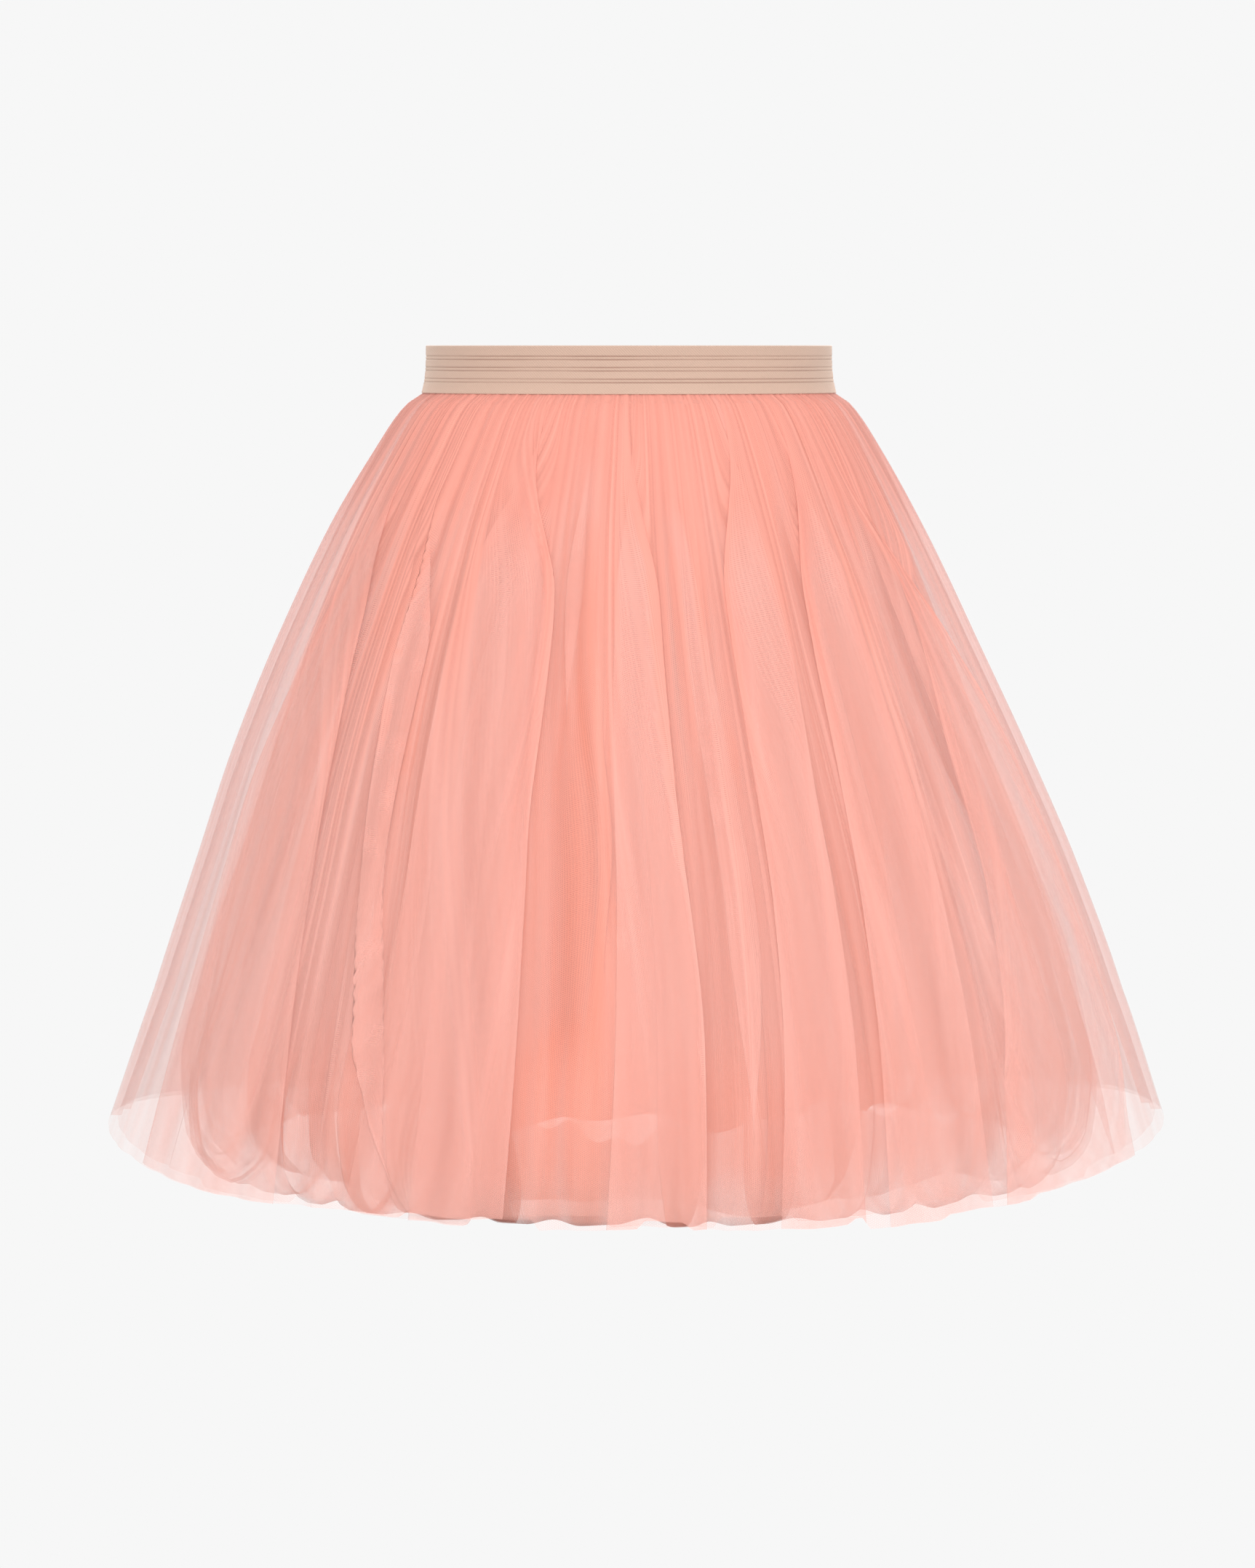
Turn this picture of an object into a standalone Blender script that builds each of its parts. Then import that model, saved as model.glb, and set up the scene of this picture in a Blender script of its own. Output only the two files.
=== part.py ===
# A full tulle skirt on a wide striped elastic waistband, in the round form it has when it is worn.
#
# From the inside out it has an opaque slip, a puffed layer of tulle whose hem turns under and
# back up like a bubble, and a longer, sheer layer of tulle with a plain cut hem. All three are
# gathered into the elastic. The skirt is hollow from the waist right down to the hem.
#
# The origin is the middle of the waist opening, halfway up the elastic. +Z is up and the
# front faces -Y. Sizes are in millimetres and are turned into metres where a point is placed.

import math

import bmesh
import bpy
import numpy as np

MM = 0.001

# Elastic waistband, measured on its outside
BAND_HEIGHT = 30.0
BAND_WALL = 2.0
BAND_ROUNDING = 0.7
BAND_SIDES = 48
WAIST_HALF_WIDTH = 128.8
WAIST_HALF_DEPTH = 89.0

# The elastic flares a little towards its lower edge, where the gathers push it out
BAND_FLARE = 3.0
BAND_FLARE_POWER = 3.0

# Three double lines run round the elastic, each a pair of fine grooves with a thread between
LINE_HEIGHTS = (7.2, 0.3, -6.8)
LINE_SPACING = 2.1
LINE_WIDTH = 0.95
LINE_DEPTH = 0.35

# Every cloth wall, and the gap left between two pieces that are sewn together
CLOTH_WALL = 1.2
SEAM_GAP = 0.3

# How deep a cross-section is for its width: the waist is a flat oval and the hem almost round
HEM_HALF_WIDTH = 339.5
HEM_HALF_DEPTH = 288.0

# Outer tulle, a row for each section from the gathered edge inside the elastic to the hem.
# height: above the origin; half_width: to the crests of the folds; lean: how far the section
# hangs over to the right; fold: from crest to trough
OUTER_SECTIONS = (
    dict(height=-8.0, half_width=127.0, lean=0.0, fold=0.8),
    dict(height=-15.6, half_width=128.8, lean=0.0, fold=1.0),
    dict(height=-18.6, half_width=136.8, lean=0.0, fold=2.4),
    dict(height=-26.0, half_width=144.5, lean=-0.3, fold=4.0),
    dict(height=-50.0, half_width=160.5, lean=-0.6, fold=6.5),
    dict(height=-100.0, half_width=189.4, lean=-1.6, fold=8.5),
    dict(height=-165.0, half_width=220.8, lean=-1.4, fold=10.5),
    dict(height=-240.0, half_width=254.0, lean=0.8, fold=12.5),
    dict(height=-315.0, half_width=283.0, lean=4.6, fold=14.0),
    dict(height=-395.0, half_width=311.0, lean=6.0, fold=15.5),
    dict(height=-493.0, half_width=339.5, lean=4.6, fold=17.0),
)

# Puffed tulle: the same columns, and it turns under at the bottom and runs back up inside
PUFF_SECTIONS = (
    dict(height=-8.0, half_width=124.4, lean=0.0, fold=0.8),
    dict(height=-15.6, half_width=125.4, lean=0.0, fold=0.8),
    dict(height=-23.0, half_width=132.5, lean=0.0, fold=2.4),
    dict(height=-62.0, half_width=155.0, lean=-0.6, fold=6.0),
    dict(height=-135.0, half_width=189.0, lean=-1.2, fold=9.0),
    dict(height=-220.0, half_width=221.0, lean=0.2, fold=12.0),
    dict(height=-305.0, half_width=252.0, lean=4.0, fold=14.5),
    dict(height=-385.0, half_width=279.0, lean=5.4, fold=17.0),
    dict(height=-446.0, half_width=294.0, lean=5.0, fold=18.0),
    dict(height=-482.0, half_width=291.0, lean=4.6, fold=17.0),
    dict(height=-502.0, half_width=274.0, lean=4.6, fold=14.0),
    dict(height=-485.0, half_width=253.0, lean=4.6, fold=12.0),
    dict(height=-449.0, half_width=246.0, lean=4.6, fold=15.0),
)

# Slip: close to the hips and cut almost straight
SLIP_SECTIONS = (
    dict(height=-8.0, half_width=121.8, lean=0.0, fold=0.6),
    dict(height=-18.0, half_width=123.0, lean=0.0, fold=0.8),
    dict(height=-70.0, half_width=139.0, lean=0.0, fold=3.0),
    dict(height=-160.0, half_width=154.0, lean=0.0, fold=5.0),
    dict(height=-310.0, half_width=163.0, lean=1.0, fold=7.0),
    dict(height=-462.0, half_width=172.0, lean=2.0, fold=10.0),
)

# Folds gathered into each half of a layer
OUTER_FOLDS = 24
PUFF_FOLDS = 18
SLIP_FOLDS = 9

# One fold, from its start (0) to its end (1): a broad rounded crest (1) and a narrow trough (-1)
FOLD_SHAPE = (
    dict(along=0.12, rise=1.0),
    dict(along=0.46, rise=0.75),
    dict(along=0.80, rise=-1.0),
)

# The folds differ: by this share in width and in depth, and they sway sideways on the way down
FOLD_WIDTH_UNEVEN = 0.34
FOLD_DEPTH_UNEVEN = 0.45
FOLD_SWAY = 0.012

# The hem of the outer tulle rises at the two sides, the left one sharply, and waves between
HEM_SIDE_RISE = dict(left=13.0, right=17.0)
HEM_SIDE_POWER = dict(left=10.0, right=5.0)
HEM_WAVE = 1.6

# Stretches of the outer hem that hang lower, or higher if the drop is negative, in degrees
# round the skirt from each panel's middle
FRONT_HEM_DROPS = (
    dict(start=-24.0, end=-10.1, drop=-3.5),
    dict(start=-10.1, end=0.4, drop=3.5),
    dict(start=0.4, end=5.0, drop=-1.5),
    dict(start=5.0, end=9.5, drop=3.0),
    dict(start=9.5, end=22.0, drop=2.5),
    dict(start=23.6, end=32.5, drop=7.0),
    dict(start=32.5, end=45.0, drop=4.0),
)
BACK_HEM_DROPS = (
    dict(start=-41.0, end=-33.0, drop=3.0),
    dict(start=-14.0, end=-5.5, drop=5.5),
    dict(start=-5.5, end=12.0, drop=-2.0),
    dict(start=12.0, end=20.0, drop=4.0),
    dict(start=37.0, end=46.0, drop=6.0),
)

# How much lower each puff of the bubble hem bulges at its crest than in its trough
PUFF_SAG = 7.0
PUFF_RAGGED = 6.0


def material(name, colour, roughness):
    """One plain cloth material."""
    made = bpy.data.materials.new(name)
    made.use_nodes = True
    shader = made.node_tree.nodes["Principled BSDF"]
    shader.inputs["Base Color"].default_value = (*colour, 1.0)
    shader.inputs["Roughness"].default_value = roughness
    shader.inputs["Metallic"].default_value = 0.0
    made.diffuse_color = (*colour, 1.0)
    return made


def half_depth(half_width):
    """Half the depth of a cross-section that is half_width wide."""
    share = (half_width - WAIST_HALF_WIDTH) / (HEM_HALF_WIDTH - WAIST_HALF_WIDTH)
    return WAIST_HALF_DEPTH + share * (HEM_HALF_DEPTH - WAIST_HALF_DEPTH)


def oval_point(half_width, angle, inwards):
    """A point on an oval section, moved inwards at right angles to it."""
    depth = half_depth(half_width)
    x = half_width * math.cos(angle)
    y = depth * math.sin(angle)
    normal = np.array((math.cos(angle) / half_width, math.sin(angle) / depth))
    normal /= np.linalg.norm(normal)
    return x - inwards * normal[0], y - inwards * normal[1]


def fold_columns(folds, phase):
    """Lines down a panel that trace its folds: how far across, how high, and the fold's depth."""
    widths = [1.0 + FOLD_WIDTH_UNEVEN * math.sin(2.4 * i + phase) for i in range(folds)]
    depths = [1.0 - FOLD_DEPTH_UNEVEN * (0.5 + 0.5 * math.sin(1.7 * i + 2.0 * phase)) for i in range(folds)]
    columns = [dict(across=0.0, rise=1.0, depth=depths[0])]
    start = 0.0
    for width, depth in zip(widths, depths):
        for point in FOLD_SHAPE:
            across = (start + point["along"] * width) / sum(widths)
            columns.append(dict(across=across, rise=point["rise"], depth=depth))
        start += width
    # the last trough is left out, so that the cloth is smooth where it is seamed
    columns[-1]["rise"] = 1.0
    columns.append(dict(across=1.0, rise=1.0, depth=depths[-1]))
    return columns


def panel_angle(across, side, row_share):
    """The angle round the oval of a place across a front or back panel."""
    start = math.pi if side == "front" else 0.0
    sway = FOLD_SWAY * math.sin(math.pi * across) * math.sin(9.0 * across + 4.0 * row_share)
    return start + math.pi * across + sway


def outer_hem_height(angle, side):
    """Height of the cut hem of the outer tulle at an angle round the skirt."""
    drops = FRONT_HEM_DROPS if side == "front" else BACK_HEM_DROPS
    middle = 1.5 * math.pi if side == "front" else 0.5 * math.pi
    degrees = math.degrees(angle - middle)
    end = "right" if math.cos(angle) > 0.0 else "left"
    height = OUTER_SECTIONS[-1]["height"]
    height += HEM_SIDE_RISE[end] * abs(math.cos(angle)) ** HEM_SIDE_POWER[end]
    height += HEM_WAVE * math.sin(11.0 * angle) * math.sin(angle) ** 2
    for stretch in drops:
        if stretch["start"] <= degrees <= stretch["end"]:
            height -= stretch["drop"]
    return height


def puff_height(row, section, column, index):
    """Height of the puffed layer: its lower rows sag at each crest, its raw edge is ragged."""
    rows_from_end = len(PUFF_SECTIONS) - 1 - row
    height = section["height"]
    if 1 <= rows_from_end <= 3:
        height += PUFF_SAG * 0.5 * (1.0 - column["rise"]) * column["depth"]
    if rows_from_end == 0:
        height += PUFF_RAGGED * math.sin(2.1 * index)
    return height


def cloth_panel(name, side, sections, columns, finish):
    """A front or back panel: a flat grid laid over the sections, then given its thickness."""
    last_row = len(sections) - 1
    last_column = len(columns) - 1
    seam_side = -1.0 if side == "front" else 1.0
    bm = bmesh.new()
    bmesh.ops.create_grid(bm, x_segments=last_column, y_segments=last_row, size=1.0)
    for vert in bm.verts:
        index = round((vert.co.x + 1.0) / 2.0 * last_column)
        row = round((1.0 - vert.co.y) / 2.0 * last_row)
        column = columns[index]
        section = sections[row]
        angle = panel_angle(column["across"], side, row / last_row)
        inwards = section["fold"] * column["depth"] * 0.5 * (1.0 - column["rise"])
        x, y = oval_point(section["half_width"], angle, inwards)
        height = section["height"]
        if sections is OUTER_SECTIONS and row == last_row:
            height = outer_hem_height(angle, side)
        if sections is PUFF_SECTIONS:
            height = puff_height(row, section, column, index)
        if index in (0, last_column):
            y = seam_side * (SEAM_GAP / 2.0 + 0.02)
        vert.co = ((x + section["lean"]) * MM, y * MM, height * MM)
    mesh = bpy.data.meshes.new(name)
    bm.to_mesh(mesh)
    bm.free()
    mesh.shade_smooth()
    panel = bpy.data.objects.new(name, mesh)
    mesh.materials.append(finish)
    wall = panel.modifiers.new("cloth thickness", "SOLIDIFY")
    wall.thickness = CLOTH_WALL * MM
    wall.offset = 0.0
    wall.use_even_offset = True
    wall.use_quality_normals = True
    return panel


def band_half_width(height):
    """Outside half width of the elastic at a height."""
    share = (BAND_HEIGHT / 2.0 - height) / BAND_HEIGHT
    return WAIST_HALF_WIDTH + BAND_FLARE * share ** BAND_FLARE_POWER


def band_profile():
    """The elastic in cross-section: how far in from its outside, and how high, point by point."""
    top = BAND_HEIGHT / 2.0
    profile = [(BAND_ROUNDING, top), (0.0, top - BAND_ROUNDING)]
    for middle in LINE_HEIGHTS:
        for groove in (middle + LINE_SPACING / 2.0, middle - LINE_SPACING / 2.0):
            profile.append((0.0, groove + LINE_WIDTH / 2.0))
            profile.append((LINE_DEPTH, groove))
        profile.append((0.0, middle - LINE_SPACING / 2.0 - LINE_WIDTH / 2.0))
    profile += [(0.0, BAND_ROUNDING - top), (BAND_ROUNDING, -top)]
    profile += [(BAND_WALL - BAND_ROUNDING, -top), (BAND_WALL, BAND_ROUNDING - top)]
    profile += [(BAND_WALL, 0.0), (BAND_WALL, top - BAND_ROUNDING)]
    profile += [(BAND_WALL - BAND_ROUNDING, top)]
    return profile


def waistband(name, finish):
    """The elastic: its cross-section carried round the oval of the waist."""
    profile = band_profile()
    bm = bmesh.new()
    bmesh.ops.create_grid(bm, x_segments=BAND_SIDES, y_segments=len(profile), size=1.0)
    for vert in bm.verts:
        side = round((vert.co.x + 1.0) / 2.0 * BAND_SIDES) % BAND_SIDES
        step = round((1.0 - vert.co.y) / 2.0 * len(profile)) % len(profile)
        inwards, height = profile[step]
        x, y = oval_point(band_half_width(height), math.tau * side / BAND_SIDES, inwards)
        vert.co = (x * MM, y * MM, height * MM)
    bmesh.ops.remove_doubles(bm, verts=bm.verts, dist=0.00001)
    bmesh.ops.recalc_face_normals(bm, faces=bm.faces)
    mesh = bpy.data.meshes.new(name)
    bm.to_mesh(mesh)
    bm.free()
    mesh.shade_smooth()
    mesh.set_sharp_from_angle(angle=math.radians(50.0))
    mesh.materials.append(finish)
    return bpy.data.objects.new(name, mesh)


def build_skirt():
    """Clear the scene, then make the elastic and the front and back of each layer."""
    for old in list(bpy.data.objects):
        bpy.data.objects.remove(old, do_unlink=True)
    skirt = bpy.data.collections.new("tulle_skirt")
    bpy.context.scene.collection.children.link(skirt)

    elastic = material("striped elastic", (0.68, 0.47, 0.36), 0.75)
    sheer = material("outer tulle", (0.93, 0.50, 0.44), 0.80)
    puffed = material("puffed tulle", (0.97, 0.44, 0.34), 0.80)
    satin = material("coral slip", (0.98, 0.32, 0.20), 0.60)

    skirt.objects.link(waistband("waistband", elastic))
    layers = (
        dict(name="outer_tulle", sections=OUTER_SECTIONS, folds=OUTER_FOLDS, finish=sheer, phase=0.7),
        dict(name="puff_tulle", sections=PUFF_SECTIONS, folds=PUFF_FOLDS, finish=puffed, phase=2.0),
        dict(name="slip", sections=SLIP_SECTIONS, folds=SLIP_FOLDS, finish=satin, phase=3.1),
    )
    for layer in layers:
        for side, turn in (("front", 0.0), ("back", 1.3)):
            columns = fold_columns(layer["folds"], layer["phase"] + turn)
            name = layer["name"] + "_" + side
            skirt.objects.link(cloth_panel(name, side, layer["sections"], columns, layer["finish"]))


build_skirt()
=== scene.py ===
# %% [markdown]
# # A full tulle skirt on a striped elastic
#
# The skirt has three gathered layers under one wide elastic. Closest to the body is an opaque
# slip. Over it hangs a puffed layer of tulle that is turned under at the hem, like a bubble.
# The last layer is longer and sheer, and is cut off plainly at the hem.
#
# The solids that hold the sizes are loaded first. Each one is then replaced by cloth as thin
# as the real one, on the same form, so the skirt keeps its measured shape.

# %% Load the fixed frame
import math

import bmesh
import bpy
import numpy as np
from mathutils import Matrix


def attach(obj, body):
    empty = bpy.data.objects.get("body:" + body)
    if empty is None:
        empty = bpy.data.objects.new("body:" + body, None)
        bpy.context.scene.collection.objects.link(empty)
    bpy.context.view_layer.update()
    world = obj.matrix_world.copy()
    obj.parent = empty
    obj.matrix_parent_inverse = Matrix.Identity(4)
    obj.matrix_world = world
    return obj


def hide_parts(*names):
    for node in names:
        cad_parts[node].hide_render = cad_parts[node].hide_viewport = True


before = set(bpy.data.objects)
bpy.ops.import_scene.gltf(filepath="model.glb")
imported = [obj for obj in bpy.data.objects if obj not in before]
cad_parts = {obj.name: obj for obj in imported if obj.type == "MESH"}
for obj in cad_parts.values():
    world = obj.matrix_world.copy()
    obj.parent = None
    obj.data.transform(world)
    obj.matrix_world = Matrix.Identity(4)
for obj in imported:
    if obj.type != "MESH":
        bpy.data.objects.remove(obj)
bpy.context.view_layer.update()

print("nodes:", sorted(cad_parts))

# %% [markdown]
# ## The camera
#
# The elastic's top edge is a straight line in the photograph, while its lower edge and the hem
# curve down in the middle. That only happens when the camera stands at the height of the top
# edge and looks slightly down. A long lens far away keeps the skirt's sides from swelling.

# %% Place the camera
MM = 0.001
PHOTO_HEIGHT = 2156
SENSOR_HEIGHT = 36.0
CAMERA_DISTANCE = 2.70
CAMERA_HEIGHT = 0.015
CAMERA_SIDE = -0.0009
FOCAL_PIXELS = 5818.8
BAND_TOP_ROW = 475

look_down = math.atan((PHOTO_HEIGHT / 2 - BAND_TOP_ROW) / FOCAL_PIXELS)
camera = bpy.data.objects.new("camera", bpy.data.cameras.new("camera"))
camera.data.sensor_fit = "VERTICAL"
camera.data.sensor_height = SENSOR_HEIGHT
camera.data.lens = FOCAL_PIXELS / PHOTO_HEIGHT * SENSOR_HEIGHT
camera.location = (CAMERA_SIDE, -CAMERA_DISTANCE, CAMERA_HEIGHT)
camera.rotation_euler = (math.radians(90) - look_down, 0.0, 0.0)
bpy.context.scene.collection.objects.link(camera)
bpy.context.scene.camera = camera
print(
    "lens:", round(camera.data.lens, 1), "mm, looking down", round(math.degrees(look_down), 2),
    "degrees",
)

# %% [markdown]
# ## The studio
#
# A pale room lights sheer cloth from every side, which is what makes tulle glow. The room is
# the world's own colour. The floor gives off the same pale light, so that no line shows where
# it meets the room. The floor lies low, so that the skirt can be looked at from below too.

# %% Make the pale room and its floor
ROOM_LIGHT = 0.93
ROOM_STRENGTH = 0.83
FLOOR_LIGHT = 0.32
FLOOR_HEIGHT = -1.8
FLOOR_SIZE = 60.0

scene = bpy.context.scene
scene.view_settings.view_transform = "Standard"
scene.view_settings.look = "None"
scene.cycles.transparent_max_bounces = 48
scene.cycles.max_bounces = 8
scene.cycles.diffuse_bounces = 3


def pale_light(tree, kind, strength):
    """A room or floor that the camera sees as one pale tone, and that lights with strength."""
    tree.nodes.clear()
    holder = "ShaderNodeOutputWorld" if kind == "Background" else "ShaderNodeOutputMaterial"
    output = tree.nodes.new(holder)
    seen = tree.nodes.new("ShaderNode" + kind)
    seen.inputs["Color"].default_value = (ROOM_LIGHT, ROOM_LIGHT, ROOM_LIGHT, 1.0)
    lighting = tree.nodes.new("ShaderNode" + kind)
    lighting.inputs["Color"].default_value = (1.0, 1.0, 1.0, 1.0)
    lighting.inputs["Strength"].default_value = strength
    choose = tree.nodes.new("ShaderNodeMixShader")
    ray = tree.nodes.new("ShaderNodeLightPath")
    tree.links.new(ray.outputs["Is Camera Ray"], choose.inputs["Fac"])
    tree.links.new(lighting.outputs[kind], choose.inputs[1])
    tree.links.new(seen.outputs[kind], choose.inputs[2])
    tree.links.new(choose.outputs["Shader"], output.inputs["Surface"])


scene.world = bpy.data.worlds.new("pale room")
scene.world.use_nodes = True
pale_light(scene.world.node_tree, "Background", ROOM_STRENGTH)
floor_finish = bpy.data.materials.new("pale floor")
floor_finish.use_nodes = True
pale_light(floor_finish.node_tree, "Emission", FLOOR_LIGHT)

half = FLOOR_SIZE / 2
floor_mesh = bpy.data.meshes.new("studio_floor")
corners = [
    (-half, -half, FLOOR_HEIGHT), (half, -half, FLOOR_HEIGHT), (half, half, FLOOR_HEIGHT),
    (-half, half, FLOOR_HEIGHT),
]
floor_mesh.from_pydata(corners, [], [(0, 1, 2, 3)])
floor_mesh.materials.append(floor_finish)
floor = bpy.data.objects.new("studio_floor", floor_mesh)
scene.collection.objects.link(floor)
print("floor", abs(FLOOR_HEIGHT), "m below the waist")

# %% [markdown]
# ## The lamps
#
# The room alone would light every side alike. Two large soft lamps beside the camera make the
# middle of the skirt the brightest part and let its sides fall off, as in the photograph.
# They are nearly level with each other, so no fold casts a hard shadow. A third lamp behind
# the skirt keeps its back as clear as its front, and a weak one at each side keeps the puffed
# layer from looking dark where it turns away.

# %% Hang the soft lamps
LIGHTS = (
    dict(name="left lamp", place=(-0.6, -3.0, 1.0), size=1.8, power=45.0),
    dict(name="right lamp", place=(0.7, -3.0, 0.9), size=1.8, power=46.0),
    dict(name="back lamp", place=(0.4, 3.2, 0.9), size=2.2, power=50.0),
    dict(name="left side lamp", place=(-2.8, -0.6, 0.4), size=2.0, power=11.0),
    dict(name="right side lamp", place=(2.8, -0.6, 0.4), size=2.0, power=16.0),
)
LIGHT_TARGET = np.array((0.0, 0.0, -0.25))

for light in LIGHTS:
    data = bpy.data.lights.new(light["name"], "AREA")
    data.shape = "DISK"
    data.size = light["size"]
    data.energy = light["power"]
    lamp = bpy.data.objects.new(light["name"], data)
    aim = LIGHT_TARGET - np.array(light["place"])
    lamp.location = light["place"]
    tilt = math.atan2(math.hypot(aim[0], aim[1]), -aim[2])
    lamp.rotation_euler = (tilt, 0.0, math.atan2(aim[1], aim[0]) - math.pi / 2)
    scene.collection.objects.link(lamp)
    print("light", light["name"], light["power"], "W")

# %% [markdown]
# ## The form of each layer
#
# A skirt is easiest to describe by its cross-sections: how wide it is at each height, how far
# it leans, and how deep its folds are there. Few rows are enough if the line through them is
# smooth and never overshoots. The puffed layer's rows go down, round the bubble and up again,
# so the line is measured along the cloth and not by height.

# %% Describe the sections, in millimetres
OUTER_SECTIONS = (
    dict(height=-8.0, half_width=127.0, lean=0.0, fold=0.8),
    dict(height=-15.6, half_width=130.6, lean=0.0, fold=0.8),
    dict(height=-18.6, half_width=136.8, lean=0.0, fold=2.4),
    dict(height=-26.0, half_width=144.5, lean=-0.3, fold=4.0),
    dict(height=-50.0, half_width=160.5, lean=-0.6, fold=6.5),
    dict(height=-100.0, half_width=189.4, lean=-1.6, fold=8.5),
    dict(height=-165.0, half_width=220.8, lean=-1.4, fold=10.5),
    dict(height=-240.0, half_width=254.0, lean=0.8, fold=12.5),
    dict(height=-315.0, half_width=283.0, lean=4.6, fold=14.0),
    dict(height=-395.0, half_width=311.0, lean=6.0, fold=15.5),
    dict(height=-493.0, half_width=339.5, lean=4.6, fold=17.0),
)
PUFF_SECTIONS = (
    dict(height=-8.0, half_width=124.4, lean=0.0, fold=0.8),
    dict(height=-15.6, half_width=125.4, lean=0.0, fold=0.8),
    dict(height=-23.0, half_width=132.5, lean=0.0, fold=2.4),
    dict(height=-62.0, half_width=155.0, lean=-0.6, fold=6.0),
    dict(height=-135.0, half_width=189.0, lean=-1.2, fold=9.0),
    dict(height=-220.0, half_width=221.0, lean=0.2, fold=12.0),
    dict(height=-305.0, half_width=252.0, lean=4.0, fold=14.5),
    dict(height=-385.0, half_width=279.0, lean=5.4, fold=17.0),
    dict(height=-446.0, half_width=294.0, lean=5.0, fold=18.0),
    dict(height=-482.0, half_width=291.0, lean=4.6, fold=17.0),
    dict(height=-502.0, half_width=274.0, lean=4.6, fold=14.0),
    dict(height=-485.0, half_width=253.0, lean=4.6, fold=12.0),
    dict(height=-449.0, half_width=246.0, lean=4.6, fold=15.0),
)
SLIP_SECTIONS = (
    dict(height=-8.0, half_width=121.8, lean=0.0, fold=0.6),
    dict(height=-18.0, half_width=123.0, lean=0.0, fold=0.8),
    dict(height=-70.0, half_width=139.0, lean=0.0, fold=3.0),
    dict(height=-160.0, half_width=154.0, lean=0.0, fold=5.0),
    dict(height=-310.0, half_width=163.0, lean=1.0, fold=7.0),
    dict(height=-462.0, half_width=172.0, lean=2.0, fold=10.0),
)
WAIST_HALF_WIDTH = 128.8
WAIST_HALF_DEPTH = 89.0
HEM_HALF_WIDTH = 339.5
HEM_HALF_DEPTH = 288.0
CROWDING_POWER = 1.9


def smooth_through(knots, values, wanted):
    """A smooth line through the values that never overshoots between two of them."""
    step = np.diff(knots)
    slope = np.diff(values) / step
    tangent = np.concatenate(([slope[0]], np.zeros(len(slope) - 1), [slope[-1]]))
    for i in range(1, len(slope)):
        if slope[i - 1] * slope[i] > 0.0:
            tangent[i] = 2.0 * slope[i - 1] * slope[i] / (slope[i - 1] + slope[i])
    i = np.clip(np.searchsorted(knots, wanted) - 1, 0, len(step) - 1)
    t = (wanted - knots[i]) / step[i]
    left = 1.0 - t
    start = (1.0 + 2.0 * t) * left ** 2 * values[i] + t * left ** 2 * step[i] * tangent[i]
    end = t * t * (3.0 - 2.0 * t) * values[i + 1] + t * t * (t - 1.0) * step[i] * tangent[i + 1]
    return start + end


def smooth_sections(sections, count, crowding):
    """Sections read off at count places along the cloth, crowded towards the waist."""
    columns = {key: np.array([row[key] for row in sections]) for key in sections[0]}
    lengths = np.hypot(np.diff(columns["height"]), np.diff(columns["half_width"]))
    along = np.concatenate(([0.0], np.cumsum(lengths)))
    share = np.linspace(0.0, 1.0, count)
    wanted = along[-1] * (crowding * share ** CROWDING_POWER + (1.0 - crowding) * share)
    smooth = {key: smooth_through(along, values, wanted) for key, values in columns.items()}
    smooth["along"] = wanted
    smooth["down"] = wanted / along[-1]
    return smooth


for name, sections in (("outer", OUTER_SECTIONS), ("puff", PUFF_SECTIONS), ("slip", SLIP_SECTIONS)):
    print(name, "cloth is", round(float(smooth_sections(sections, 5, 0.0)["along"][-1])), "mm long")

# %% [markdown]
# ## The main folds
#
# Gathered cloth falls in uneven folds: broad rounded crests with narrow troughs between. Each
# panel has its own run of folds, made from the same rule as the solids, and a smooth step
# between two points of a fold keeps every crest rounded.

# %% Work out the folds that every panel is gathered into
FOLD_SHAPE = (
    dict(along=0.12, rise=1.0),
    dict(along=0.46, rise=0.75),
    dict(along=0.80, rise=-1.0),
)
FOLD_WIDTH_UNEVEN = 0.34
FOLD_DEPTH_UNEVEN = 0.45
FOLD_WIDTH_STEP = 2.4
FOLD_DEPTH_STEP = 1.7
FOLD_SWAY = 0.012


def fold_columns(folds, phase):
    """Where the folds' points lie across a panel, how high each is, and how deep its fold."""
    widths = [1.0 + FOLD_WIDTH_UNEVEN * math.sin(FOLD_WIDTH_STEP * i + phase) for i in range(folds)]
    turns = [FOLD_DEPTH_STEP * i + 2.0 * phase for i in range(folds)]
    depths = [1.0 - FOLD_DEPTH_UNEVEN * (0.5 + 0.5 * math.sin(turn)) for turn in turns]
    points = [(0.0, 1.0, depths[0])]
    start = 0.0
    for width, depth in zip(widths, depths):
        for point in FOLD_SHAPE:
            points.append(((start + point["along"] * width) / sum(widths), point["rise"], depth))
        start += width
    points[-1] = (points[-1][0], 1.0, points[-1][2])
    points.append((1.0, 1.0, depths[-1]))
    return np.array(points)


def eased(knots, values, wanted):
    """Values with a soft step from each one to the next."""
    i = np.clip(np.searchsorted(knots, wanted) - 1, 0, len(knots) - 2)
    t = np.clip((wanted - knots[i]) / (knots[i + 1] - knots[i]), 0.0, 1.0)
    t = t * t * (3.0 - 2.0 * t)
    return values[i] + (values[i + 1] - values[i]) * t


def fold_inwards(folds, phase, across):
    """How far in the cloth lies across a panel, as a share of the section's fold depth."""
    points = fold_columns(folds, phase)
    return eased(points[:, 0], points[:, 2] * 0.5 * (1.0 - points[:, 1]), across)


print("outer folds start at", [round(float(p), 3) for p in fold_columns(24, 0.7)[:4, 0]])

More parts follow.
